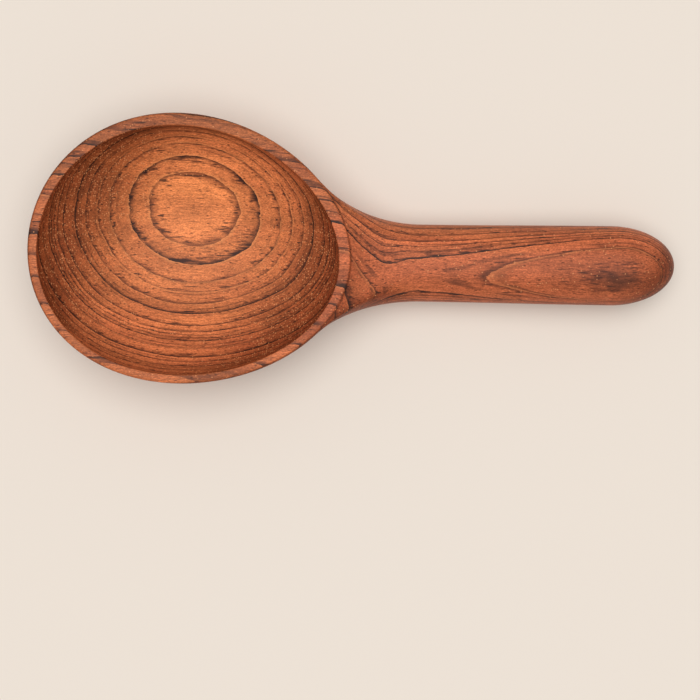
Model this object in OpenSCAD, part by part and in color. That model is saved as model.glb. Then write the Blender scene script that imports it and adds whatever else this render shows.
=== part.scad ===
// Serving spoon carved from hardwood. An egg-shaped bowl with a flat rim runs through a coved
// neck into a stout oval handle with a round end. It lies on its planed underside, with +X from
// the bowl's tip to the end of the handle and +Z up.

/* [Overall] */
// Length from the tip of the bowl to the end of the handle
overall_l = 200; // [180:1:240]
// Depth planed off the rounded underside, so that the spoon lies flat
planed = 0.4; // [0.2:0.1:0.8]

/* [Bowl] */
// Length of the bowl over its rim
bowl_l = 97.6; // [80:0.1:110]
// Width of the bowl over its rim
bowl_w = 81.9; // [66:0.1:100]
// Share by which the bowl is wider towards its tip
egg = 0.07; // [0:0.005:0.1]
// How far the tip lies to the right of the bowl's mid-line
tip_off = 0.9; // [0:0.1:2]
// Height of the rim at the tip
rim_tip_h = 28.9; // [25:0.1:38]
// Height of the rim where it meets the neck
rim_neck_h = 23.9; // [22:0.1:34]
// Rise of the rim's arch over a straight line from tip to neck
rim_arch = 0.6; // [0:0.1:1.5]
// Width of the flat rim
rim_w = 3.3; // [2:0.1:5]
// Bevel on the two edges of the rim
rim_ease = 0.5; // [0.2:0.1:0.8]
// Thickness of the wood under the deepest point of the hollow
floor_t = 5; // [3:0.1:8]
// Fullness of the bowl outside, from 1 for a parabola to 2 for an ellipse
outer_full = 1.55; // [1.3:0.05:2]
// Fullness of the hollow, from 1 for a parabola to 2 for an ellipse
hollow_full = 1.6; // [1.3:0.05:2]
// How far the lowest point outside lies behind the middle of the rim
foot_shift = 6.5; // [0:0.5:10]
// How far the hollow sits nearer to the tip than the bowl does
hollow_lead = 0.3; // [0:0.1:1]
// How far the hollow sits to the right of the bowl's mid-line
hollow_side = 0.6; // [0:0.1:1]

/* [Neck] */
// Length from the end of the rim to the narrowest place
neck_l = 22; // [16:0.5:34]
// Width at the narrowest place
neck_w = 24.3; // [18:0.1:30]
// Height at the narrowest place
neck_h = 19.2; // [15:0.1:21]
// Angle to each side of the mid-line at which the neck leaves the rim
neck_spread = 39; // [30:1:48]
// Steepness of the cove where it drops from the rim
cove_drop = 0.45; // [0.2:0.05:0.7]

/* [Handle] */
// How far the handle lies to the right of the bowl's mid-line
handle_off = 2.6; // [0:0.1:4]
// Width of the handle at its widest
handle_w = 25; // [20:0.1:32]
// Height of the handle at its highest
handle_h = 22; // [18:0.1:26]
// Squareness of the handle's section, where 2 is an ellipse
handle_square = 2.1; // [2:0.05:2.6]
// Length of the round end
end_l = 20; // [12:0.5:26]

/* [Hidden] */
wood = "#93502c";

// Steps of the surfaces: across the neck's arc, round the rest of the rim, and along each part
arc_steps = 20;
rim_steps = 70;
hollow_steps = 14;
outer_steps = 14;
neck_steps = 14;
grip_steps = 14;
end_steps = 10;

// Places along the spoon
tip_x = -overall_l / 2;
bowl_x = tip_x + bowl_l / 2;
neck_x = tip_x + bowl_l + neck_l;
end_x = overall_l / 2;
grip_x = end_x - end_l;

// Angle on the handle's section at which the edge of the rim fades out
corner_angle = 40;
// Share of the way that the neck's curves hold their first and last direction
neck_pull = 1;
// Step for taking a surface's slope, in degrees
nudge = 0.5;

// Points round a full ring, and points in the seam between bowl and neck
ring_n = arc_steps + rim_steps;
seam_n = arc_steps + 2 * outer_steps;

// Value between a and b at share t
function mix(a, b, t) = a + (b - a) * t;

// Share from 0 to 1 with a soft start and a soft end
function soft(t) = t * t * (3 - 2 * t);

// Power of a sine or cosine that keeps its sign
function power(v, p) = sign(v) * pow(abs(v), p);

// Cubic curve from p0 to p1 that leaves along d0 and arrives along d1
function cubic(p0, d0, p1, d1, t) =
    p0 * (2 * t ^ 3 - 3 * t ^ 2 + 1) + d0 * (t ^ 3 - 2 * t ^ 2 + t)
    + p1 * (3 * t ^ 2 - 2 * t ^ 3) + d1 * (t ^ 3 - t ^ 2);

// Angles round the rim: the neck's arc first, then the rest
angles = concat(
    [for (i = [0 : arc_steps - 1]) mix(-neck_spread, neck_spread, i / arc_steps)],
    [for (i = [0 : rim_steps - 1]) mix(neck_spread, 360 - neck_spread, i / rim_steps)]);

// Sideways bend of the bowl's mid-line, from -1 at the tip to 1 at the neck
function bend(c) = -c * ((handle_off + tip_off) * c + handle_off - tip_off) / 2;

// Egg-shaped plan of the given half-length and half-width at an angle
function egg_plan(a, b, angle) =
    let (c = cos(angle))
    [a * c, b * sin(angle) * (1 - egg * c) + bend(c)];

// Height of the flat rim at a place along the spoon
function rim_z(x) =
    let (t = (x - tip_x) / bowl_l)
    mix(rim_tip_h, rim_neck_h, t) + 4 * rim_arch * t * (1 - t);

// Plan of the bowl and of its hollow, drawn in by a margin
function bowl_plan(angle, margin = 0) =
    [bowl_x, 0] + egg_plan(bowl_l / 2 - margin, bowl_w / 2 - margin, angle);
function hollow_plan(angle, margin = 0) =
    [bowl_x - hollow_lead, -hollow_side]
    + egg_plan(bowl_l / 2 - rim_w - margin, bowl_w / 2 - rim_w - margin, angle);

// Dished curve from a low point to an edge: steep is 0 at the low point and 90 at the edge
function dish(low, edge, full, steep) =
    let (out = sin(steep), up = 1 - pow(cos(steep), 2 / full))
    [mix(low.x, edge.x, out), mix(low.y, edge.y, out), mix(low.z, edge.z, up)];

// Points on a flat ring of the rim, lowered by drop
function on_rim(plan, drop = 0) = [plan.x, plan.y, rim_z(plan.x) - drop];

// Outside of the bowl and its hollow
function outer_point(angle, steep) =
    dish([bowl_x + foot_shift, -handle_off, -planed], on_rim(bowl_plan(angle), rim_ease),
        outer_full, steep);
function hollow_point(angle, steep) =
    dish([bowl_x - hollow_lead, -hollow_side, floor_t], on_rim(hollow_plan(angle), rim_ease),
        hollow_full, steep);

// Angle on the section, from its side at 0 to its top at 90, for each point of the seam
function section_angle(s) =
    s <= arc_steps ? mix(180 - corner_angle, corner_angle, s / arc_steps)
    : s <= arc_steps + outer_steps ? mix(corner_angle, -90, (s - arc_steps) / outer_steps)
    : 180 - mix(corner_angle, -90, (seam_n - s) / outer_steps);

// Oval section of the neck and handle, shrunk about its middle by a share
function section(x, w, h, share = 1) = [
    for (s = [0 : seam_n - 1])
        let (turn = section_angle(s), half = (h + planed) / 2)
        [x, share * w / 2 * power(cos(turn), 2 / handle_square) - handle_off,
            half - planed + share * half * power(sin(turn), 2 / handle_square)]];

neck_section = section(neck_x, neck_w, neck_h);

// Slope in plan of the rim's edge at an angle
function rim_slope(angle) =
    let (a = bowl_plan(angle - nudge), b = bowl_plan(angle + nudge))
    atan((b.y - a.y) / (b.x - a.x));

// Angle at which the neck grows out of the bowl's side: it swings out to 90 under the foot
function side_angle(steep) = mix(90, neck_spread, steep / 90);

// Seam between bowl and neck: over the rim's edge, down one side, and up the other side
function seam_steep(s) =
    s <= arc_steps ? 90 : 90 * abs(s - arc_steps - outer_steps) / outer_steps;
function seam_angle(s) =
    s <= arc_steps ? mix(-neck_spread, neck_spread, s / arc_steps)
    : (s <= arc_steps + outer_steps ? 1 : -1) * side_angle(seam_steep(s));
function seam_point(s) = outer_point(seam_angle(s), seam_steep(s));

// Direction, for one step along X, in which the cove leaves the rim
function cove_direction(angle) =
    let (
        share = angle / neck_spread,
        slope = mix(rim_slope(-neck_spread), rim_slope(neck_spread), (1 + share) / 2),
        rim_fall = (rim_neck_h - rim_tip_h) / bowl_l)
    [1, tan(slope), mix(-cove_drop, rim_fall, share * share)];

// Direction, for one step along X, in which the neck leaves the outside of the bowl
function side_direction(angle, steep) =
    let (
        level = max(steep, nudge),
        step = outer_point(angle - nudge, level) - outer_point(angle + nudge, level))
    step / step.x;

function seam_direction(s) =
    s <= arc_steps ? cove_direction(seam_angle(s)) : side_direction(seam_angle(s), seam_steep(s));

// Row of the neck's surface at share t from the seam to the section
function neck_row(t) = [
    for (s = [0 : seam_n - 1])
        let (from = seam_point(s), to = neck_section[s], reach = neck_pull * (to.x - from.x))
        cubic(from, reach * seam_direction(s), to, [reach, 0, 0], t)];

// Triangles between two rows of point numbers, leaving out those that close up at a pole
function strip(a, b) = [
    for (i = [0 : len(a) - 2], part = [[a[i], a[i + 1], b[i + 1]], [a[i], b[i + 1], b[i]]])
        if (part[0] != part[1] && part[1] != part[2] && part[2] != part[0]) part];
function sheet(rows) = [for (r = [0 : len(rows) - 2]) each strip(rows[r], rows[r + 1])];
function closed(row) = concat(row, [row[0]]);
function numbers(first, count) = [for (i = [0 : count - 1]) first + i];
function pole(number, count) = [for (i = [0 : count - 1]) number];

// Takes off what lies below the floor
module plane_underside() {
    difference() {
        children();
        translate([-overall_l, -overall_l, -overall_l])
            cube([2 * overall_l, 2 * overall_l, overall_l]);
    }
}

// Bowl with its hollow, flat rim and neck
module bowl() {
    // Rings from the bottom of the hollow over the rim to its outer edge
    rings = concat(
        [for (j = [1 : hollow_steps]) [for (q = angles) hollow_point(q, 90 * j / hollow_steps)]],
        [[for (q = angles) on_rim(hollow_plan(q, -rim_ease))]],
        [[for (q = angles) on_rim(bowl_plan(q, rim_ease))]],
        [[for (q = angles) outer_point(q, 90)]]);
    // Rows down the outside from the rim to the foot, clear of the neck
    sides = [
        for (j = [1 : outer_steps - 1])
            let (steep = 90 * (1 - j / outer_steps), first = side_angle(steep))
            [for (i = [0 : rim_steps]) outer_point(mix(first, 360 - first, i / rim_steps), steep)]];
    necks = [for (k = [1 : neck_steps]) neck_row(k / neck_steps)];
    points = concat(
        [hollow_point(0, 0)], [for (row = rings) each row], [for (row = sides) each row],
        [outer_point(0, 0)], [for (row = necks) each row]);

    edge_first = 1 + (len(rings) - 1) * ring_n;
    sides_first = edge_first + ring_n;
    side_n = rim_steps + 1;
    foot = sides_first + len(sides) * side_n;
    ring_rows = [for (j = [0 : len(rings) - 1]) closed(numbers(1 + j * ring_n, ring_n))];
    side_rows = concat(
        [concat(numbers(edge_first + arc_steps, rim_steps), [edge_first])],
        [for (j = [0 : len(sides) - 1]) numbers(sides_first + j * side_n, side_n)],
        [pole(foot, side_n)]);
    seam_row = concat(
        numbers(edge_first, arc_steps + 1),
        [for (j = [1 : outer_steps - 1]) side_rows[j][0]],
        [foot],
        [for (j = [outer_steps - 1 : -1 : 1]) side_rows[j][side_n - 1]]);
    neck_rows = [for (k = [0 : neck_steps - 1]) numbers(foot + 1 + k * seam_n, seam_n)];

    color(wood)
        plane_underside()
            polyhedron(points, concat(
                sheet(concat([pole(0, ring_n + 1)], ring_rows)),
                sheet(side_rows),
                sheet([for (row = concat([seam_row], neck_rows)) closed(row)]),
                [neck_rows[neck_steps - 1]]));
}

// Handle from the narrowest place of the neck to the round end
module handle() {
    grips = [
        for (k = [0 : grip_steps])
            let (t = k / grip_steps, grow = soft(t))
            section(mix(neck_x, grip_x, t), mix(neck_w, handle_w, grow), mix(neck_h, handle_h, grow))];
    ends = [
        for (k = [1 : end_steps - 1])
            let (turn = 90 * k / end_steps)
            section(grip_x + end_l * sin(turn), handle_w, handle_h, cos(turn))];
    rows = concat(grips, ends);
    tip = section(end_x, handle_w, handle_h, 0)[0];
    last = len(rows) * seam_n;
    row_numbers = [for (k = [0 : len(rows) - 1]) numbers(k * seam_n, seam_n)];

    color(wood)
        plane_underside()
            polyhedron(
                concat([for (row = rows) each row], [tip]),
                concat(
                    [[for (s = [seam_n - 1 : -1 : 0]) s]],
                    sheet([for (row = row_numbers) closed(row)]),
                    strip(closed(row_numbers[len(rows) - 1]), pole(last, seam_n + 1))));
}

bowl();
handle();
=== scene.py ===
"""Serving spoon carved from one billet of oiled hardwood, seen straight from above.

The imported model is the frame: its boxes give the length, the widths and the heights. One seamless
surface, worked out on numpy grids, stands for both CAD nodes and carries a solid wood material.
Lengths are metres, or millimetres where a name says so, and +X runs from the bowl's tip to the end
of the handle.
"""
from __future__ import annotations

import logging
import math
from collections.abc import Mapping, Sequence
from dataclasses import dataclass, field
from enum import Enum
from typing import Any

import bmesh
import bpy
import numpy as np
from mathutils import Matrix, Vector

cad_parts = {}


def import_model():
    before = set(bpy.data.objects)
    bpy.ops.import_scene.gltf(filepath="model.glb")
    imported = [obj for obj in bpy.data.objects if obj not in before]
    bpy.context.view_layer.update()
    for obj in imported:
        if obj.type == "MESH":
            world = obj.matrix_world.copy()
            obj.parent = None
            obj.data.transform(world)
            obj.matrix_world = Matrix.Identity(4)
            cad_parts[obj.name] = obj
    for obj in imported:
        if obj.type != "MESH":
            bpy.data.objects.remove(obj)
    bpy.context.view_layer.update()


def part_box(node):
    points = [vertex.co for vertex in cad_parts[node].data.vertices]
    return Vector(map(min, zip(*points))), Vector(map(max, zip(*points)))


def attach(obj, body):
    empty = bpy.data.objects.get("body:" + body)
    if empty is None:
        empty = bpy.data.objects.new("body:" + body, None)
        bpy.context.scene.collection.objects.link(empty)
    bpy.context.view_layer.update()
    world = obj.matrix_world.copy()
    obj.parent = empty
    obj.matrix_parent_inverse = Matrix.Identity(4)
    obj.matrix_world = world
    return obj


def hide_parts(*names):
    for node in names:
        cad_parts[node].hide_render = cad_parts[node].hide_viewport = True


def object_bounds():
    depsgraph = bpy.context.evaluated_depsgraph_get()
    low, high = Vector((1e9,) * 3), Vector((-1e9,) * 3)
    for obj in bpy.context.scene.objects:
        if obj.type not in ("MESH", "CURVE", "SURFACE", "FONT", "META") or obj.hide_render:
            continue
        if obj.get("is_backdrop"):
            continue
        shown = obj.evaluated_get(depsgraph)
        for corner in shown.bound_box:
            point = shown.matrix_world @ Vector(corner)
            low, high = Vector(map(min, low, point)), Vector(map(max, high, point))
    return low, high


LOG = logging.getLogger("serving_spoon")
MM = 0.001
TINY = 1e-9
IMAGE_PIXELS = 700

# Inputs of a Mix node that mixes colours
MIX_SHARE = 0
MIX_FROM = 6
MIX_TO = 7

Tree = bpy.types.NodeTree
Socket = bpy.types.NodeSocket
Span = tuple[float, float]
Colour = tuple[float, float, float, float]


def mix(a: Any, b: Any, t: Any) -> Any:
    """Value between a and b at share t."""
    return a + (b - a) * t


def soft(t: np.ndarray) -> np.ndarray:
    """Share from 0 to 1 with a soft start and a soft end."""
    return t * t * (3 - 2 * t)


def linear(colour: str) -> Colour:
    """Turn an sRGB hex colour into linear light.

    Args:
        colour: Text such as "#b5673f".

    Returns:
        Red, green, blue and an alpha of 1.
    """
    srgb = [int(colour[i:i + 2], 16) / 255 for i in (1, 3, 5)]
    light = [c / 12.92 if c <= 0.04045 else ((c + 0.055) / 1.055) ** 2.4 for c in srgb]
    return (light[0], light[1], light[2], 1.0)


def add_node(tree: Tree, kind: str, inputs: Sequence[Any] | Mapping[Any, Any] = (),
             out: str | None = None, **settings: Any) -> Socket:
    """Add one node, set it up and link it.

    Args:
        tree: Node tree that takes the node.
        kind: Blender's name for the node type, without "ShaderNode".
        inputs: Sockets that feed it or constant values, in the node's order or by name or number.
        out: Name of the output to return, or none for the first that is in use.
        settings: Properties of the node itself.

    Returns:
        The node's output, or its last input where it has no output.
    """
    node = tree.nodes.new("ShaderNode" + kind)
    for name, value in settings.items():
        setattr(node, name, value)
    pairs = inputs.items() if isinstance(inputs, Mapping) else enumerate(inputs)
    for key, value in pairs:
        if isinstance(value, bpy.types.NodeSocket):
            tree.links.new(value, node.inputs[key])
        else:
            node.inputs[key].default_value = value
    if out:
        return node.outputs[out]
    return next((socket for socket in node.outputs if socket.enabled), node.inputs[-1])


class Wood(Enum):
    """Colours of the oiled hardwood. END_GRAIN is what the others are multiplied by on end grain."""

    PALE_LINE = "#e6965c"
    SPRINGWOOD = "#da824c"
    HEARTWOOD = "#b55f3b"
    LATEWOOD = "#763521"
    CHARCOAL = "#2e1e19"
    PORE = "#3a1a0f"
    SPECK = "#eea06a"
    END_GRAIN = "#beb2a8"

    @property
    def light(self) -> Colour:
        """The colour in linear light."""
        return linear(self.value)


@dataclass(frozen=True)
class Ring:
    """One year ring: its width, how strong its last line, pale start and charcoal are, and its tone.

    The three strengths lie between 0 and 1, and the tone is a factor on the ring's colour.
    """

    width_mm: float
    line: float = 0.5
    pale: float = 0.12
    charcoal: float = 0.25
    tone: float = 1.0


@dataclass(frozen=True)
class Grain:
    """Noise in patches that are drawn out along the grain, with a number of finer copies added in."""

    along_mm: float
    across_mm: float
    detail: float = 2.0

    def noise(self, tree: Tree, point: Socket) -> Socket:
        """Draw the noise.

        Args:
            tree: Node tree that takes it.
            point: Place in the wood in millimetres.

        Returns:
            A value about 0.5.
        """
        size = (1 / self.along_mm, 1 / self.across_mm, 1 / self.across_mm)
        squeezed = add_node(tree, "VectorMath", (point, size), operation="MULTIPLY")
        return add_node(tree, "TexNoise", {"Vector": squeezed, "Scale": 1.0, "Detail": self.detail},
                        out="Fac")


@dataclass(frozen=True)
class GrowthLayers:
    """Year rings of the billet, as layers that the carved surface cuts through.

    A layer is the height z, less the tilt times y, plus a slow rise along the grain and a step where
    the grain swings at the neck, in millimetres. Each ring starts pale, darkens towards its end and
    stops sharply at the next.
    """

    first_mm: float = -4.0
    tilt: float = 0.3
    rise_per_mm2: float = 0.00013
    rise_from_mm: float = -70.0
    step_mm: float = 1.2
    step_reach_mm: Span = (6.0, 17.0)
    wanders_mm: tuple[tuple[float, Grain], ...] = (
        (1.5, Grain(45, 18)), (0.4, Grain(12, 3)), (0.12, Grain(1.4, 0.5)))
    rings: tuple[Ring, ...] = (
        Ring(2.1), Ring(2.3), Ring(2.0),
        Ring(2.1, 0.5, 0.1, 0.35),
        Ring(1.7, 0.7, 0.7, 0.8, 0.96),
        Ring(2.3, 0.35, 0.7, 0.4, 0.98),
        Ring(1.7, 0.35, 0.7, 0.5, 1.06),
        Ring(2.2, 0.45, 0.6, 0.5, 0.92),
        Ring(2.2, 1.0, 0.3, 0.5, 0.9),
        Ring(3.0, 0.8, 0.1, 0.4, 1.02),
        Ring(1.7, 0.9, 0.05, 0.4, 1.0),
        Ring(1.0, 0.9, 0.05, 0.65, 1.06),
        Ring(0.8, 0.7, 0.05, 0.55, 1.02),
        Ring(0.9, 1.0, 0.05, 0.8, 1.06),
        Ring(2.3, 0.6, 0.1, 0.15, 1.08),
        Ring(3.4, 0.8, 0.3, 0.66, 0.95),
        Ring(1.9, 0.9, 0.2, 0.3, 1.02),
        Ring(2.2, 0.9, 0.05, 0.35, 0.9),
        Ring(2.2, 0.9, 0.05, 0.35, 0.88),
        Ring(2.4, 0.7, 0.05, 0.3, 0.88),
        Ring(2.4, 0.5, 0.05, 0.3, 0.98),
        Ring(2.4, 0.5, 0.05, 0.3, 0.95))

    @property
    def span_mm(self) -> float:
        """Thickness of all rings together."""
        return sum(ring.width_mm for ring in self.rings)

    @property
    def count(self) -> int:
        """Number of rings."""
        return len(self.rings)

    def height(self, tree: Tree, point: Socket) -> Socket:
        """Height of a place across the layers, with its wander.

        Args:
            tree: Node tree that takes it.
            point: Place in the wood in millimetres.

        Returns:
            The height in millimetres.
        """
        up = (0, -self.tilt, 1)
        flat = add_node(tree, "VectorMath", (point, up), out="Value", operation="DOT_PRODUCT")
        along = add_node(tree, "SeparateXYZ", (point,), out="X")
        run = add_node(tree, "Math", (along, self.rise_from_mm), operation="SUBTRACT")
        run = add_node(tree, "Math", (run, 2.0), operation="POWER")
        height = add_node(tree, "Math", (run, self.rise_per_mm2, flat), operation="MULTIPLY_ADD")
        step = add_node(tree, "MapRange", (along, *self.step_reach_mm, 0.0, self.step_mm),
                        interpolation_type="SMOOTHSTEP")
        height = add_node(tree, "Math", (height, step), operation="ADD")
        for amount, grain in self.wanders_mm:
            noise = grain.noise(tree, point)
            height = add_node(tree, "Math", (noise, amount, height), operation="MULTIPLY_ADD")
        middle = sum(amount for amount, _ in self.wanders_mm) / 2
        return add_node(tree, "Math", (height, middle), operation="SUBTRACT")

    def ring(self, tree: Tree, height: Socket) -> tuple[Socket, ...]:
        """Ring that a height belongs to: a curve counts the rings, and a ramp holds their marks.

        Args:
            tree: Node tree that takes it.
            height: Height across the layers.

        Returns:
            The age in the ring from 0 to 1, and the ring's line, pale start, charcoal and tone.
        """
        share = add_node(tree, "MapRange", (height, self.first_mm, self.first_mm + self.span_mm))
        number = add_node(tree, "FloatCurve", {"Value": share})
        curve = number.node.mapping.curves[0]
        ends = np.cumsum([ring.width_mm for ring in self.rings]) / self.span_mm
        for k, end in enumerate(ends[:-1], start=1):
            curve.points.new(float(end), k / self.count)
        for knot in curve.points:
            knot.handle_type = "VECTOR"
        number.node.mapping.update()
        rings = add_node(tree, "Math", (number, float(self.count)), operation="MULTIPLY")
        age = add_node(tree, "Math", (rings,), operation="FRACT")
        year = add_node(tree, "Math", (rings,), operation="FLOOR")
        middle = add_node(tree, "Math", (year, 0.5), operation="ADD")
        middle = add_node(tree, "Math", (middle, float(self.count)), operation="DIVIDE")
        marks = add_node(tree, "ValToRGB", (middle,), out="Color")
        ramp = marks.node.color_ramp
        ramp.interpolation = "CONSTANT"
        for k, ring in enumerate(self.rings):
            stop = ramp.elements[0] if k == 0 else ramp.elements.new(k / self.count)
            stop.color = (ring.line, ring.pale, ring.charcoal, ring.tone)
        ramp.elements.remove(ramp.elements[-1])
        split = add_node(tree, "SeparateColor", (marks,))
        return age, *split.node.outputs, marks.node.outputs["Alpha"]


@dataclass(frozen=True)
class Place:
    """Where in the billet a point of the carved surface lies and how it is cut, as a tree's sockets.

    The four after the tree give the place in millimetres, and facing is the surface's normal there.
    end_grain is 1 where the fibres are cut across, and layer is the height across the growth layers.
    The age and the next four belong to the year ring, and drift comes and goes along the grain.
    """

    tree: Tree
    point: Socket
    along: Socket
    across: Socket
    above: Socket
    facing: Socket
    end_grain: Socket
    layer: Socket
    age: Socket
    line: Socket
    pale: Socket
    charcoal: Socket
    tone: Socket
    drift: Socket


@dataclass(frozen=True)
class OiledHardwood:
    """Jatoba-like hardwood, carved, sanded fine and rubbed with oil.

    The eye sees tilted year rings cut into ovals by the hollow, dark feathered latewood lines, short
    dark pores along the grain that turn to pale specks on end grain, and a satin sheen. A Span is where
    a change starts and ends, and where a second Span goes with it, what it goes from and to. Noise
    lies between about 0.3 and 0.7.
    """

    # Growth layers, and how many finer copies go into the noise that follows their height
    layers: GrowthLayers = field(default_factory=GrowthLayers)
    layer_detail: float = 1.0

    # How far the fibres swing from +X towards -Y, and how squarely they are cut on end grain, which
    # drinks more oil and turns darker
    fibre_swing: float = math.radians(20)
    end_grain_cut: Span = (0.2, 0.6)

    # Ground colour: share of red in the first layers, in the later ones and towards the grip
    first_mm: Span = (3.0, 6.0)
    first_red: Span = (-0.25, -0.05)
    later_mm: Span = (8.0, 24.0)
    later_red: Span = (0.0, 0.42)
    grip_mm: Span = (-45.0, 10.0)
    grip_red: Span = (0.0, 0.3)
    mottle: Grain = Grain(26, 6)
    mottle_red: float = 0.7

    # Tone: lighter and darker years, then blotches, fibres and flecks, each with its swing about 1.
    # Real fibres are a few hundredths of a millimetre wide, so they are drawn coarser, to show
    band_mm: float = 2.6
    band_swing: float = 0.16
    streaks: tuple[tuple[Grain, float], ...] = (
        (Grain(45, 5), 0.14), (Grain(14, 7), 0.1), (Grain(9, 0.55), 0.15),
        (Grain(2.0, 0.26), 0.28), (Grain(0.6, 0.3), 0.34))
    noise_reach: Span = (0.3, 0.7)

    # Painted shade: darker towards the rim's top, most on its +Y side. Darker also towards the handle's
    # end
    shade_above_mm: Span = (18.0, 25.0)
    shade_across_mm: Span = (5.0, 35.0)
    painted_shade_tones: Span = (0.95, 0.62)
    end_along_mm: Span = (80.0, 97.0)
    end_tone: float = 0.76

    # Painted light: lighter on the hollow's long walls, where the normal's y times y is below 0, and
    # most on the wall on the +Y side
    lit_wall_inward_mm: Span = (-7.0, -18.0)
    lit_wall_across_mm: Span = (-10.0, 10.0)
    painted_light_tones: Span = (1.06, 1.24)

    # Pale start of a ring, over the first share of its age
    drift: Grain = Grain(14, 3)
    pale_age: Span = (0.0, 0.12)
    pale_drift: Span = (0.35, 0.6)
    pale_fade: Span = (0.3, 1.0)

    # Latewood smudges: feathered along the grain, patchy, and longer in rings with more charcoal
    smudge_charcoal: Span = (0.3, 0.9)
    smudge_early: Span = (-0.4, 0.0)
    smudge_age: Span = (0.45, 1.0)
    smudge_late: float = 0.32
    feather: Grain = Grain(3.6, 0.55)
    feather_edge: Span = (0.45, 0.75)
    patch: Grain = Grain(9.0, 3.0)
    patch_slide_mm: tuple[float, float, float] = (48.4, 19.0, 8.9)
    patch_edge: Span = (0.4, 0.58)
    patch_strength: Span = (0.1, 1.2)
    charcoal_power: float = 0.6

    # Last dark line of a ring: the age where it begins, with no charcoal and with most, and is full
    line_begins: Span = (0.9, 0.65)
    line_full: float = 0.98
    line_drift: Span = (0.32, 0.52)
    line_hold: Span = (0.55, 1.0)

    # Fainter lines between, in places, more of them in the later layers and fewer on steep cuts
    fold_mm: float = 0.55
    fold_edge: Span = (0.52, 0.68)
    fold_layers_mm: Span = (4.0, 10.0)
    fold_strength: Span = (0.0, 0.55)
    fold_patch: Grain = Grain(12, 2.2)
    fold_patch_edge: Span = (0.4, 0.62)
    fold_patch_strength: Span = (0.1, 1.0)
    fold_level: Span = (0.2, 0.65)
    fold_level_strength: Span = (0.3, 1.0)

    # Long charcoal dashes, more of them close to a ring's end
    dash: Grain = Grain(8, 0.75, 1.0)
    dash_age: Span = (0.2, 0.9)
    dash_near: Span = (-0.15, 0.02)
    dash_edge: Span = (0.6, 0.68)
    dash_strength: Span = (0.0, 0.85)

    # Pores: long thin cells, of which a share is open. Marks reach out to a share of the cell. Real
    # ones are 0.1 to 0.2 mm wide, and they are drawn about twice as wide, to show
    pore_length_mm: float = 2.4
    pore_width_mm: float = 0.75
    pore_share: float = 0.45
    pore_reach: Span = (0.12, 0.28)
    pore_strength: Span = (0.8, 0.0)
    pore_bump: float = 0.3
    pore_depth_mm: float = 0.06

    # Filled pores that catch the light, most of them on the hollow's end grain, drawn coarser too.
    # The normal times the way from the hollow's middle is above 0 outside the bowl
    speck_gap_mm: float = 0.62
    speck_odds: Span = (0.1, 0.7)
    speck_reach: Span = (0.2, 0.42)
    speck_strength: Span = (0.62, 0.0)
    hollow_x_mm: float = -51.2
    outside_mm: Span = (0.0, 6.0)
    outside_odds: Span = (1.0, 0.25)
    swarm: Grain = Grain(7, 2.5)
    swarm_edge: Span = (0.4, 0.62)
    swarm_odds: Span = (0.3, 1.0)

    # Sheen of the oil
    roughness: float = 0.48
    ior: float = 1.45
    specular: float = 0.2

    def place(self, tree: Tree) -> Place:
        """Find a point's place in the wood.

        Args:
            tree: Node tree that takes it.

        Returns:
            The sockets that the marks of the wood are drawn from.
        """
        metres = add_node(tree, "TexCoord", out="Object")
        point = add_node(tree, "VectorMath", {0: metres, "Scale": 1 / MM}, operation="SCALE")
        along = add_node(tree, "SeparateXYZ", (point,), out="X")
        across = along.node.outputs["Y"]
        above = along.node.outputs["Z"]
        facing = add_node(tree, "NewGeometry", out="Normal")
        fibre = (math.cos(self.fibre_swing), -math.sin(self.fibre_swing), 0.0)
        cut = add_node(tree, "VectorMath", (facing, fibre), out="Value", operation="DOT_PRODUCT")
        cut = add_node(tree, "Math", (cut,), operation="ABSOLUTE")
        end_grain = add_node(tree, "MapRange", (cut, *self.end_grain_cut),
                             interpolation_type="SMOOTHSTEP")
        layer = self.layers.height(tree, point)
        ring = self.layers.ring(tree, layer)
        drift = self.drift.noise(tree, point)
        return Place(tree, point, along, across, above, facing, end_grain, layer, *ring, drift)

    def ground(self, at: Place) -> Socket:
        """Ground colour: pale in the first layers, redder in the later ones, mottled.

        Args:
            at: Place in the wood.

        Returns:
            The colour.
        """
        tree = at.tree
        first = add_node(tree, "MapRange", (at.layer, *self.first_mm, *self.first_red))
        later = add_node(tree, "MapRange", (at.layer, *self.later_mm, *self.later_red))
        grip = add_node(tree, "MapRange", (at.along, *self.grip_mm, *self.grip_red))
        red = add_node(tree, "Math", (first, later), operation="ADD")
        red = add_node(tree, "Math", (grip, red), operation="ADD")
        mottle = self.mottle.noise(tree, at.point)
        red = add_node(tree, "Math", (mottle, self.mottle_red, red), operation="MULTIPLY_ADD",
                       use_clamp=True)
        return add_node(tree, "Mix", {
            MIX_SHARE: red, MIX_FROM: Wood.SPRINGWOOD.light, MIX_TO: Wood.HEARTWOOD.light},
            data_type="RGBA")

    def tone(self, at: Place) -> Socket:
        """Tone: the ring's own, times streaks of all sizes, painted shade on the rim, darkening towards
        the handle's end and painted light on the hollow's long walls.

        Args:
            at: Place in the wood.

        Returns:
            A factor about 1.
        """
        tree = at.tree
        band = add_node(tree, "TexNoise", {
            "W": at.layer, "Scale": 1 / self.band_mm, "Detail": self.layer_detail},
            out="Fac", noise_dimensions="1D")
        swings = [(band, self.band_swing)]
        swings += [(grain.noise(tree, at.point), swing) for grain, swing in self.streaks]
        factors = [add_node(tree, "MapRange", (noise, *self.noise_reach, 1 - swing, 1 + swing))
                   for noise, swing in swings]

        # Painted shade: darker towards the rim's top, most on its +Y side
        rim = add_node(tree, "MapRange", (at.across, *self.shade_across_mm, *self.painted_shade_tones))
        factors.append(add_node(tree, "MapRange", (at.above, *self.shade_above_mm, 1.0, rim)))
        # Darker towards the handle's end
        factors.append(add_node(tree, "MapRange", (at.along, *self.end_along_mm, 1.0, self.end_tone)))

        # Painted light on the hollow's long walls, most on the +Y one
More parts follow.
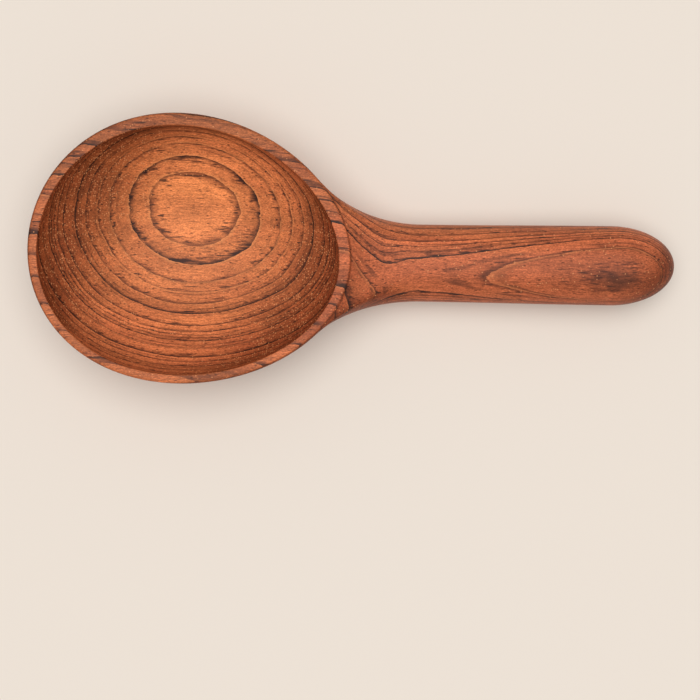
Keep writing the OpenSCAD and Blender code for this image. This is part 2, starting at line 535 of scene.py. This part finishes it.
        inward = add_node(tree, "VectorMath", (at.facing, at.point), operation="MULTIPLY")
        inward = add_node(tree, "SeparateXYZ", (inward,), out="Y")
        wall = add_node(tree, "MapRange", (at.across, *self.lit_wall_across_mm, *self.painted_light_tones))
        factors.append(add_node(tree, "MapRange", (inward, *self.lit_wall_inward_mm, 1.0, wall)))

        tone = at.tone
        for factor in factors:
            tone = add_node(tree, "Math", (tone, factor), operation="MULTIPLY")
        return tone

    def pale_start(self, at: Place) -> Socket:
        """Pale start of a ring, which comes and goes along the grain.

        Args:
            at: Place in the wood.

        Returns:
            Its strength.
        """
        tree = at.tree
        fade = add_node(tree, "MapRange", (at.drift, *self.pale_drift, *self.pale_fade))
        start = add_node(tree, "MapRange", (at.age, *self.pale_age, 1.0, 0.0))
        start = add_node(tree, "Math", (start, at.pale), operation="MULTIPLY")
        return add_node(tree, "Math", (start, fade), operation="MULTIPLY")

    def smudge(self, at: Place) -> Socket:
        """Latewood smudges towards a ring's end.

        Args:
            at: Place in the wood.

        Returns:
            Their strength.
        """
        tree = at.tree
        early = add_node(tree, "MapRange", (at.charcoal, *self.smudge_charcoal, *self.smudge_early))
        late = add_node(tree, "MapRange", (at.age, *self.smudge_age, early, self.smudge_late))
        feather = self.feather.noise(tree, at.point)
        feather = add_node(tree, "Math", (feather, late), operation="ADD")
        feather = add_node(tree, "MapRange", (feather, *self.feather_edge))
        slid = add_node(tree, "VectorMath", (at.point, self.patch_slide_mm), operation="ADD")
        patch = self.patch.noise(tree, slid)
        patch = add_node(tree, "MapRange", (patch, *self.patch_edge, *self.patch_strength))
        amount = add_node(tree, "Math", (at.charcoal, self.charcoal_power), operation="POWER")
        amount = add_node(tree, "Math", (amount, patch), operation="MULTIPLY")
        return add_node(tree, "Math", (feather, amount), operation="MULTIPLY", use_clamp=True)

    def last_line(self, at: Place) -> Socket:
        """Last dark line of a ring, which fades in and out along the grain.

        Args:
            at: Place in the wood.

        Returns:
            Its strength.
        """
        tree = at.tree
        begin = add_node(tree, "MapRange", (at.charcoal, 0.0, 1.0, *self.line_begins))
        line = add_node(tree, "MapRange", (at.age, begin, self.line_full),
                        interpolation_type="SMOOTHSTEP")
        hold = add_node(tree, "MapRange", (at.drift, *self.line_drift, *self.line_hold))
        line = add_node(tree, "Math", (line, hold), operation="MULTIPLY")
        return add_node(tree, "Math", (line, at.line), operation="MULTIPLY")

    def faint_lines(self, at: Place) -> Socket:
        """Fainter uneven lines between the rings' last ones.

        Args:
            at: Place in the wood.

        Returns:
            Their strength.
        """
        tree = at.tree
        fold = add_node(tree, "TexNoise", {
            "W": at.layer, "Scale": 1 / self.fold_mm, "Detail": self.layer_detail},
            out="Fac", noise_dimensions="1D")
        fold = add_node(tree, "MapRange", (fold, *self.fold_edge), interpolation_type="SMOOTHSTEP")
        layered = add_node(tree, "MapRange", (at.layer, *self.fold_layers_mm, *self.fold_strength))
        where = self.fold_patch.noise(tree, at.point)
        where = add_node(tree, "MapRange", (where, *self.fold_patch_edge, *self.fold_patch_strength))
        where = add_node(tree, "Math", (where, layered), operation="MULTIPLY")
        level = add_node(tree, "SeparateXYZ", (at.facing,), out="Z")
        level = add_node(tree, "Math", (level,), operation="ABSOLUTE")
        level = add_node(tree, "MapRange", (level, *self.fold_level, *self.fold_level_strength))
        where = add_node(tree, "Math", (where, level), operation="MULTIPLY")
        return add_node(tree, "Math", (fold, where), operation="MULTIPLY")

    def dashes(self, at: Place) -> Socket:
        """Long charcoal dashes.

        Args:
            at: Place in the wood.

        Returns:
            Their strength.
        """
        tree = at.tree
        near = add_node(tree, "MapRange", (at.age, *self.dash_age, *self.dash_near))
        dash = self.dash.noise(tree, at.point)
        dash = add_node(tree, "Math", (dash, near), operation="ADD")
        return add_node(tree, "MapRange", (dash, *self.dash_edge, *self.dash_strength))

    def pores(self, at: Place) -> Socket:
        """Open pores along the grain.

        Args:
            at: Place in the wood.

        Returns:
            Their strength.
        """
        tree = at.tree
        size = (1 / self.pore_length_mm, 1 / self.pore_width_mm, 1 / self.pore_width_mm)
        cell = add_node(tree, "VectorMath", (at.point, size), operation="MULTIPLY")
        pore = add_node(tree, "TexVoronoi", {"Vector": cell, "Scale": 1.0}, out="Distance")
        luck = add_node(tree, "SeparateColor", (pore.node.outputs["Color"],))
        chosen = add_node(tree, "Math", (luck, self.pore_share), operation="LESS_THAN")
        pore = add_node(tree, "MapRange", (pore, *self.pore_reach, *self.pore_strength))
        return add_node(tree, "Math", (pore, chosen), operation="MULTIPLY")

    def specks(self, at: Place) -> Socket:
        """Filled pores, round and small.

        Args:
            at: Place in the wood.

        Returns:
            Their strength.
        """
        tree = at.tree
        speck = add_node(tree, "TexVoronoi", {"Vector": at.point, "Scale": 1 / self.speck_gap_mm},
                         out="Distance")
        luck = add_node(tree, "SeparateColor", (speck.node.outputs["Color"],))
        odds = add_node(tree, "MapRange", (at.end_grain, 0.0, 1.0, *self.speck_odds))
        reach = add_node(tree, "VectorMath", (at.point, (-self.hollow_x_mm, 0, 0)), operation="ADD")
        reach = add_node(tree, "VectorMath", (reach, (1, 1, 0)), operation="MULTIPLY")
        outward = add_node(tree, "VectorMath", (at.facing, reach), out="Value", operation="DOT_PRODUCT")
        outside = add_node(tree, "MapRange", (outward, *self.outside_mm, *self.outside_odds))
        odds = add_node(tree, "Math", (odds, outside), operation="MULTIPLY")
        swarm = self.swarm.noise(tree, at.point)
        swarm = add_node(tree, "MapRange", (swarm, *self.swarm_edge, *self.swarm_odds))
        odds = add_node(tree, "Math", (odds, swarm), operation="MULTIPLY")
        chosen = add_node(tree, "Math", (luck, odds), operation="LESS_THAN")
        speck = add_node(tree, "MapRange", (speck, *self.speck_reach, *self.speck_strength))
        return add_node(tree, "Math", (speck, chosen), operation="MULTIPLY")

    def material(self) -> bpy.types.Material:
        """Build the node material: the ground colour first, then each mark over it.

        Returns:
            The wood, solid in Object coordinates.
        """
        material = bpy.data.materials.new("oiled_hardwood")
        material.use_nodes = True
        tree = material.node_tree
        tree.nodes.clear()
        at = self.place(tree)
        colour = self.ground(at)
        late_tint = add_node(tree, "Mix", {
            MIX_SHARE: at.charcoal, MIX_FROM: Wood.LATEWOOD.light, MIX_TO: Wood.CHARCOAL.light},
            data_type="RGBA")
        dark = add_node(tree, "Math", (self.last_line(at), self.faint_lines(at)), operation="MAXIMUM")
        dark = add_node(tree, "Math", (dark, self.dashes(at)), operation="MAXIMUM")
        pores = self.pores(at)
        marks = (
            (1.0, self.tone(at), "MULTIPLY"),
            (self.pale_start(at), Wood.PALE_LINE.light, "MIX"),
            (self.smudge(at), late_tint, "MIX"),
            (dark, Wood.CHARCOAL.light, "MIX"),
            (at.end_grain, Wood.END_GRAIN.light, "MULTIPLY"),
            (pores, Wood.PORE.light, "MIX"),
            (self.specks(at), Wood.SPECK.light, "MIX"))
        for strength, tint, blend in marks:
            colour = add_node(tree, "Mix", {MIX_SHARE: strength, MIX_FROM: colour, MIX_TO: tint},
                              data_type="RGBA", blend_type=blend)
        relief = add_node(tree, "Math", (pores, -1.0), operation="MULTIPLY")
        bump = add_node(tree, "Bump", {
            "Height": relief, "Strength": self.pore_bump, "Distance": self.pore_depth_mm * MM})
        shader = add_node(tree, "BsdfPrincipled", {
            "Base Color": colour, "Roughness": self.roughness, "IOR": self.ior,
            "Specular IOR Level": self.specular, "Normal": bump})
        add_node(tree, "OutputMaterial", {"Surface": shader})
        return material


@dataclass(frozen=True)
class PaleFloor:
    """Matt painted board, warm white, which gives the eye nothing but the spoon's soft shadow."""

    colour: str = "#e6dbcf"
    roughness: float = 0.9

    def material(self) -> bpy.types.Material:
        """Build the plain floor material.

        Returns:
            The paint.
        """
        material = bpy.data.materials.new("matt_painted_board")
        material.use_nodes = True
        tree = material.node_tree
        tree.nodes.clear()
        paint = {"Base Color": linear(self.colour), "Roughness": self.roughness}
        shader = add_node(tree, "BsdfPrincipled", paint)
        add_node(tree, "OutputMaterial", {"Surface": shader})
        return material


@dataclass
class SpoonBody:
    """The carved spoon: bowl with its hollow and flat rim, coved neck and stout handle."""

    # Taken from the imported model's boxes
    tip_x: float
    neck_x: float
    end_x: float
    bowl_w: float
    rim_tip_h: float
    handle_y: float
    handle_w: float
    handle_h: float

    # Bowl and rim. The bowl's width is a share of its box's, which takes in the egg's fuller end
    bowl_share: float = 0.9976
    neck_l: float = 22.0 * MM
    egg: float = 0.07
    tip_off: float = 0.9 * MM
    rim_neck_h: float = 23.9 * MM
    rim_arch: float = 0.6 * MM
    rim_w: float = 3.3 * MM
    rim_ease: float = 0.5 * MM
    rim_round: float = 1.1 * MM
    floor_t: float = 5.0 * MM
    outer_full: float = 1.55
    hollow_full: float = 1.6
    foot_shift: float = 6.5 * MM
    hollow_lead: float = 0.3 * MM
    hollow_side: float = 0.6 * MM

    # Neck and its rounded edges: passes, pull of each, and shares of the neck at its start and end
    neck_w: float = 24.3 * MM
    neck_h: float = 19.2 * MM
    neck_spread: float = math.radians(39)
    cove_drop: float = 0.45
    cove_ease: float = 0.3
    edge_passes: int = 36
    edge_pull: float = 0.5
    edge_start: float = 0.2
    edge_stop: float = 0.5

    # Handle and the planed underside
    handle_square: float = 2.1
    end_l: float = 20.0 * MM
    corner: float = math.radians(40)
    planed: float = 0.4 * MM
    plane_ease: float = 0.25 * MM

    # Steps of the grids, the turn over which a slope is measured, and how close points merge
    arc_n: int = 84
    rim_n: int = 252
    hollow_n: int = 84
    side_n: int = 52
    ease_n: int = 5
    flat_n: int = 3
    neck_n: int = 48
    grip_n: int = 64
    end_n: int = 32
    nudge: float = math.radians(0.5)
    merge: float = 0.002 * MM

    @classmethod
    def from_frame(cls) -> SpoonBody:
        """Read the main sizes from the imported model.

        Returns:
            The spoon's sizes.
        """
        low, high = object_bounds()
        bowl_low, bowl_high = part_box("bowl")
        handle_low, handle_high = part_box("handle")
        return cls(
            tip_x=low[0], neck_x=bowl_high[0], end_x=high[0],
            bowl_w=(bowl_high[1] - bowl_low[1]) * cls.bowl_share, rim_tip_h=high[2],
            handle_y=(handle_low[1] + handle_high[1]) / 2,
            handle_w=handle_high[1] - handle_low[1], handle_h=handle_high[2])

    @property
    def bowl_l(self) -> float:
        """Length of the bowl over its rim."""
        return self.neck_x - self.neck_l - self.tip_x

    @property
    def bowl_x(self) -> float:
        """Middle of the bowl's length."""
        return self.tip_x + self.bowl_l / 2

    def egg_plan(self, angle: np.ndarray, margin: float) -> tuple[np.ndarray, np.ndarray]:
        """Egg-shaped ring: an ellipse, wider towards the tip, on a mid-line that bends to -Y.

        Args:
            angle: Angle round the bowl, 0 at the neck.
            margin: How far the ring is drawn in from the bowl's edge.

        Returns:
            X from the bowl's middle, and Y.
        """
        c = np.cos(angle)
        bend = c * ((self.handle_y - self.tip_off) * c + self.handle_y + self.tip_off) / 2
        half_l = self.bowl_l / 2 - margin
        half_w = self.bowl_w / 2 - margin
        return half_l * c, half_w * np.sin(angle) * (1 - self.egg * c) + bend

    def rim_z(self, x: np.ndarray) -> np.ndarray:
        """Height of the rim: a straight fall from tip to neck plus a low arch."""
        t = (x - self.tip_x) / self.bowl_l
        return mix(self.rim_tip_h, self.rim_neck_h, t) + 4 * self.rim_arch * t * (1 - t)

    def on_rim(self, angle: np.ndarray, margin: float, hollow: bool, drop: Any = 0.0) -> np.ndarray:
        """Ring of points on the rim's plane.

        Args:
            angle: Angle round the bowl.
            margin: How far the ring is drawn in.
            hollow: Whether it is the hollow's ring, which sits a little off the bowl's.
            drop: How far the ring lies under the rim's plane.

        Returns:
            Points along the last axis.
        """
        x, y = self.egg_plan(angle, margin + self.rim_w if hollow else margin)
        x = x + self.bowl_x - (self.hollow_lead if hollow else 0.0)
        y = y - (self.hollow_side if hollow else 0.0)
        return np.stack([x, y, self.rim_z(x) - drop], -1)

    @staticmethod
    def dish(low: tuple[float, float, float], edge: np.ndarray, full: float,
             steep: np.ndarray) -> np.ndarray:
        """Dished surface: goes out by the sine of steep and up by one less a power of its cosine.

        Args:
            low: Lowest point.
            edge: Points on the edge.
            full: 1 for a parabola, 2 for an ellipse.
            steep: 0 at the lowest point, a right angle at the edge.

        Returns:
            Points along the last axis.
        """
        out = np.sin(steep)
        up = 1 - np.clip(np.cos(steep), 0, 1) ** (2 / full)
        return np.stack([mix(low[0], edge[..., 0], out), mix(low[1], edge[..., 1], out),
                         mix(low[2], edge[..., 2], up)], -1)

    @staticmethod
    def round_corner(ends: Sequence[np.ndarray], t: np.ndarray) -> np.ndarray:
        """Quadratic curve from the first point, past the second, which is the corner, to the third."""
        return ends[0] * (1 - t) ** 2 + 2 * ends[1] * t * (1 - t) + ends[2] * t ** 2

    def outer_point(self, angle: np.ndarray, steep: np.ndarray) -> np.ndarray:
        """Outside of the bowl at an angle and a steepness."""
        low = (self.bowl_x + self.foot_shift, self.handle_y, -self.planed)
        return self.dish(low, self.on_rim(angle, 0.0, False, self.rim_round), self.outer_full, steep)

    def hollow_point(self, angle: np.ndarray, steep: np.ndarray) -> np.ndarray:
        """Inside of the bowl at an angle and a steepness."""
        low = (self.bowl_x - self.hollow_lead, -self.hollow_side, self.floor_t)
        return self.dish(low, self.on_rim(angle, 0.0, True, self.rim_ease), self.hollow_full, steep)

    def side_angle(self, steep: np.ndarray) -> np.ndarray:
        """Angle at which the neck grows out of the bowl's side, swinging out under the foot."""
        return mix(math.pi / 2, self.neck_spread, steep / (math.pi / 2))

    def cove_lift(self, angle: np.ndarray) -> np.ndarray:
        """How far the cove starts above the foot of the rim's rounding: most in its middle."""
        share = np.clip(np.abs(angle) / self.neck_spread, 0, 1)
        return self.rim_round * (1 - self.cove_ease) * (1 - share ** 2)

    def ring_angles(self) -> np.ndarray:
        """Angles round the rim: the neck's arc first, then the rest back to the start.

        Returns:
            The angles, the last a full turn after the first.
        """
        arc = np.linspace(-self.neck_spread, self.neck_spread, self.arc_n + 1)
        rest = np.linspace(self.neck_spread, 2 * math.pi - self.neck_spread, self.rim_n + 1)
        return np.concatenate([arc, rest[1:]])

    def seam(self) -> tuple[np.ndarray, np.ndarray, np.ndarray]:
        """Seam between bowl and neck: over the rim's edge, down one side and up the other.

        Returns:
            Angle and steepness on the bowl, and the angle on the neck's section.
        """
        upright = math.pi / 2
        steep = np.linspace(upright, 0, self.side_n + 1)[1:]
        side = self.side_angle(steep)
        arc = np.linspace(-self.neck_spread, self.neck_spread, self.arc_n + 1)
        down = np.linspace(self.corner, -upright, self.side_n + 1)[1:]
        top = np.linspace(math.pi - self.corner, self.corner, self.arc_n + 1)
        angle = np.concatenate([arc, side, -side[-2::-1], arc[:1]])
        level = np.concatenate([np.full(self.arc_n + 1, upright), steep, steep[-2::-1], [upright]])
        turn = np.concatenate([top, down, math.pi - down[-2::-1], top[:1]])
        return angle, level, turn

    def section(self, x: Any, w: Any, h: Any, turn: np.ndarray, share: Any = 1.0) -> np.ndarray:
        """Oval section of neck and handle: a superellipse, shrunk about its middle by a share.

        Args:
            x: Place along the spoon.
            w: Width.
            h: Height over the floor.
            turn: Angle on the section, 0 at its side and a right angle at its top.
            share: Share of the full size.

        Returns:
            Points along the last axis.
        """
        bulge = 2 / self.handle_square
        half = (h + self.planed) / 2
        y = self.handle_y + share * w / 2 * np.sign(np.cos(turn)) * np.abs(np.cos(turn)) ** bulge
        z = half - self.planed + share * half * np.sign(np.sin(turn)) * np.abs(np.sin(turn)) ** bulge
        return np.stack(np.broadcast_arrays(x, y, z), -1)

    def hollow_grid(self) -> np.ndarray:
        """Hollow from its lowest point up to the rim.

        Returns:
            Grid of points.
        """
        rows = np.linspace(0, math.pi / 2, self.hollow_n + 1)
        steep, angle = np.meshgrid(rows, self.ring_angles(), indexing="ij")
        return self.hollow_point(angle, steep)

    def rim_grid(self) -> np.ndarray:
        """Rim from the hollow over its rounded edges to the outside, with a flat between them.

        Returns:
            Grid of points.
        """
        angle = self.ring_angles()
        t = np.linspace(0, 1, self.ease_n + 1)[:, None, None]
        wrapped = np.where(angle > math.pi, angle - 2 * math.pi, angle)
        fall = self.rim_round - self.cove_lift(wrapped)
        inside = (self.on_rim(angle, 0.0, True, self.rim_ease), self.on_rim(angle, 0.0, True),
                  self.on_rim(angle, -self.rim_ease, True))
        outside = (self.on_rim(angle, self.rim_round, False), self.on_rim(angle, 0.0, False),
                   self.on_rim(angle, 0.0, False, fall))
        s = np.linspace(0, 1, self.flat_n + 1)[1:-1, None, None]
        flat = mix(inside[2], outside[0], s)
        flat[..., 2] = self.rim_z(flat[..., 0])
        return np.concatenate([self.round_corner(inside, t), flat, self.round_corner(outside, t)])

    def outside_grid(self) -> np.ndarray:
        """Outside of the bowl from the rim down to the foot, clear of the neck.

        Returns:
            Grid of points.
        """
        steep = np.linspace(math.pi / 2, 0, self.side_n + 1)[:, None]
        first = self.side_angle(steep)
        angle = mix(first, 2 * math.pi - first, np.linspace(0, 1, self.rim_n + 1)[None, :])
        return self.outer_point(angle, np.broadcast_to(steep, angle.shape))

    def neck_slopes(self, angle: np.ndarray, steep: np.ndarray, on_arc: np.ndarray) -> np.ndarray:
        """Directions in which the neck leaves the bowl, for a step of 1 along X.

        Along the sides it is the bowl's own slope round the rim. Over the rim's edge it swings from one
        side's slope to the other's, and falls by the cove's drop, less and less towards the sides.

        Args:
            angle: Angle round the bowl, along the seam.
            steep: Steepness on the bowl.
            on_arc: Whether a point lies over the rim's edge.

        Returns:
            Directions along the last axis.
        """
        level = np.maximum(steep, self.nudge)
        step = self.outer_point(angle - self.nudge, level) - self.outer_point(angle + self.nudge, level)
        run = np.where(np.abs(step[:, :1]) < TINY, 1.0, step[:, :1])
        ends = np.array([-self.neck_spread, self.neck_spread])
        rim = math.pi / 2
        edge = self.outer_point(ends + self.nudge, rim) - self.outer_point(ends - self.nudge, rim)
        slope = np.arctan(edge[:, 1] / edge[:, 0])
        share = angle / self.neck_spread
        fall = (self.rim_neck_h - self.rim_tip_h) / self.bowl_l
        cove = np.stack([np.ones_like(share), np.tan(mix(slope[0], slope[1], (1 + share) / 2)),
                         mix(-self.cove_drop, fall, share ** 2)], -1)
        return np.where(on_arc[:, None], cove, step / run)

    def neck_grid(self) -> np.ndarray:
        """Neck: cubic Hermite curves from the seam to the narrowest section.

        Each curve leaves the bowl along its slope there and arrives along +X.

        Returns:
            Grid of points.
        """
        angle, steep, turn = self.seam()
        start = self.outer_point(angle, steep)
        on_arc = np.arange(len(angle)) <= self.arc_n
        start[:, 2] += np.where(on_arc, self.cove_lift(angle), 0.0)
        leave = self.neck_slopes(angle, steep, on_arc)
        stop = self.section(self.neck_x, self.neck_w, self.neck_h, turn)
        arrive = np.array([1.0, 0.0, 0.0])
        reach = stop[:, :1] - start[:, :1]
        t = np.linspace(0, 1, self.neck_n + 1)[:, None, None]
        neck = (start * (2 * t ** 3 - 3 * t ** 2 + 1) + reach * leave * (t ** 3 - 2 * t ** 2 + t)
                + stop * (3 * t ** 2 - 2 * t ** 3) + reach * arrive * (t ** 3 - t ** 2))
        return self.round_edges(neck, t)

    def round_edges(self, neck: np.ndarray, t: np.ndarray) -> np.ndarray:
        """Round the two edges between the cove and the neck's sides.

        Each point is drawn towards the middle of its neighbours round the section, a few dozen times,
        at full strength a little way off the bowl and not at all at either end.

        Args:
            neck: Grid of points, closed round the section.
            t: Share of the way along the neck, for each row.

        Returns:
            The rounded grid.
        """
        begin = soft(np.clip(t / self.edge_start, 0, 1))
        finish = soft(np.clip((1 - t) / self.edge_stop, 0, 1))
        strength = self.edge_pull * begin * finish
        ring = neck[:, :-1]
        for _ in range(self.edge_passes):
            middle = (np.roll(ring, 1, axis=1) + np.roll(ring, -1, axis=1)) / 2
            ring = mix(ring, middle, strength)
        return np.concatenate([ring, ring[:, :1]], axis=1)

    def handle_grid(self) -> np.ndarray:
        """Handle: sections that grow softly from the neck to the grip, then a round end.

        Returns:
            Grid of points.
        """
        turn = self.seam()[2][None, :]
        grip_x = self.end_x - self.end_l
        t = np.linspace(0, 1, self.grip_n + 1)[:, None]
        grip = self.section(mix(self.neck_x, grip_x, t), mix(self.neck_w, self.handle_w, soft(t)),
                            mix(self.neck_h, self.handle_h, soft(t)), turn)
        round_off = np.linspace(0, math.pi / 2, self.end_n + 1)[1:, None]
        end = self.section(grip_x + self.end_l * np.sin(round_off), self.handle_w, self.handle_h, turn,
                           np.cos(round_off))
        return np.concatenate([grip, end])

    def plane_underside(self, points: np.ndarray) -> np.ndarray:
        """Press the underside flat on the floor: a hyperbola in place of the corner at height 0.

        Args:
            points: Points along the last axis.

        Returns:
            The pressed points.
        """
        flat = points.copy()
        flat[..., 2] = (points[..., 2] + np.hypot(points[..., 2], self.plane_ease)) / 2
        return flat

    def build(self) -> bpy.types.Object:
        """Join the grids into one closed mesh.

        Returns:
            The spoon, at the origin with its place in its mesh.
        """
        grids = (self.hollow_grid(), self.rim_grid(), self.outside_grid(), self.neck_grid(),
                 self.handle_grid())
        points: list[np.ndarray] = []
        faces: list[np.ndarray] = []
        first = 0
        for grid in grids:
            rows, columns = grid.shape[:2]
            number = first + np.arange(rows * columns).reshape(rows, columns)
            quads = np.stack([number[:-1, :-1], number[:-1, 1:], number[1:, 1:], number[1:, :-1]], -1)
            points.append(self.plane_underside(grid).reshape(-1, 3))
            faces.append(quads.reshape(-1, 4))
            first += rows * columns
        mesh = bpy.data.meshes.new("serving_spoon")
        mesh.from_pydata(np.concatenate(points).tolist(), [], np.concatenate(faces).tolist())
        work = bmesh.new()
        work.from_mesh(mesh)
        bmesh.ops.remove_doubles(work, verts=work.verts, dist=self.merge)
        bmesh.ops.recalc_face_normals(work, faces=work.faces)
        work.to_mesh(mesh)
        work.free()
        mesh.shade_smooth()
        spoon = bpy.data.objects.new("serving_spoon", mesh)
        bpy.context.scene.collection.objects.link(spoon)
        return spoon


@dataclass
class Studio:
    """Pale floor, one soft lamp, an evenly lit room and the camera over the spoon."""

    floor_half: float = 20.0
    world_grey: float = 0.36
    room_colour: str = "#ece0d4"
    key_power: float = 2.2
    key_angle: float = math.radians(62)
    key_from: tuple[float, float, float] = (-0.02, 0.04, 1.0)

    # Camera: its lean and roll, its distance from the aim, the width of one pixel at the aim, and how
    # far the view slides across the floor
    lean_x: float = math.radians(-1.129)
    lean_y: float = math.radians(-1.133)
    roll: float = math.radians(0.81)
    distance: float = 450.0 * MM
    pixel: float = 0.314 * MM
    aim: tuple[float, float, float] = (0.0, 0.0, 12.0 * MM)
    slide: Span = (2.384 * MM, 30.289 * MM)
    clip_start: float = 10.0 * MM

    def build_floor(self) -> None:
        """Lay the floor under the spoon."""
        h = self.floor_half
        mesh = bpy.data.meshes.new("floor")
        mesh.from_pydata([(-h, -h, 0), (h, -h, 0), (h, h, 0), (-h, h, 0)], [], [(0, 1, 2, 3)])
        mesh.materials.append(PaleFloor().material())
        floor = bpy.data.objects.new("floor", mesh)
        bpy.context.scene.collection.objects.link(floor)
        floor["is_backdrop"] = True

    def build_light(self) -> None:
        """Hang the soft key lamp and fill the room with even light that looks pale itself."""
        lamp = bpy.data.lights.new("key", "SUN")
        lamp.energy = self.key_power
        lamp.angle = self.key_angle
        key = bpy.data.objects.new("key", lamp)
        key.rotation_euler = Vector(self.key_from).to_track_quat("Z", "Y").to_euler()
        bpy.context.scene.collection.objects.link(key)
        world = bpy.data.worlds.new("room")
        world.use_nodes = True
        tree = world.node_tree
        tree.nodes.clear()
        grey = (self.world_grey, self.world_grey, self.world_grey, 1.0)
        fill = add_node(tree, "Background", {"Color": grey})
        pale = add_node(tree, "Background", {"Color": linear(self.room_colour)})
        rays = add_node(tree, "LightPath", out="Is Camera Ray").node.outputs
        seen = add_node(tree, "Math", (rays["Is Camera Ray"], rays["Is Glossy Ray"]), operation="ADD")
        seen = add_node(tree, "Math", (seen, rays["Is Transmission Ray"]), operation="ADD",
                        use_clamp=True)
        room = add_node(tree, "MixShader", (seen, fill, pale))
        add_node(tree, "OutputWorld", {"Surface": room})
        bpy.context.scene.world = world

    def build_camera(self) -> None:
        """Set the camera over the spoon, leaning a little, with the view slid across the floor."""
        back = np.array([math.sin(self.lean_y), -math.sin(self.lean_x), 0.0])
        back[2] = math.sqrt(1 - back @ back)
        right = np.array([math.cos(self.roll), math.sin(self.roll), 0.0])
        right -= back * (right @ back)
        right /= np.linalg.norm(right)
        up = np.cross(back, right)
        place = np.array(self.aim) + back * self.distance - right * self.slide[0] - up * self.slide[1]
        lens = bpy.data.cameras.new("camera")
        lens.angle = 2 * math.atan(IMAGE_PIXELS / 2 * self.pixel / self.distance)
        lens.clip_start = self.clip_start
        camera = bpy.data.objects.new("camera", lens)
        turn = np.eye(4)
        turn[:3, :3] = np.stack([right, up, back], -1)
        turn[:3, 3] = place
        camera.matrix_world = Matrix(turn.tolist())
        bpy.context.scene.collection.objects.link(camera)
        bpy.context.scene.camera = camera


def main() -> None:
    """Build the spoon and its studio."""
    logging.basicConfig(level=logging.INFO, format="%(message)s")
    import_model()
    bpy.context.scene.view_settings.view_transform = "Standard"

    spoon = SpoonBody.from_frame().build()
    spoon.data.materials.append(OiledHardwood().material())
    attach(spoon, "root")
    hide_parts("bowl", "handle")
    LOG.info("serving_spoon: %d faces", len(spoon.data.polygons))

    studio = Studio()
    studio.build_floor()
    studio.build_light()
    studio.build_camera()


if __name__ == "__main__":
    main()
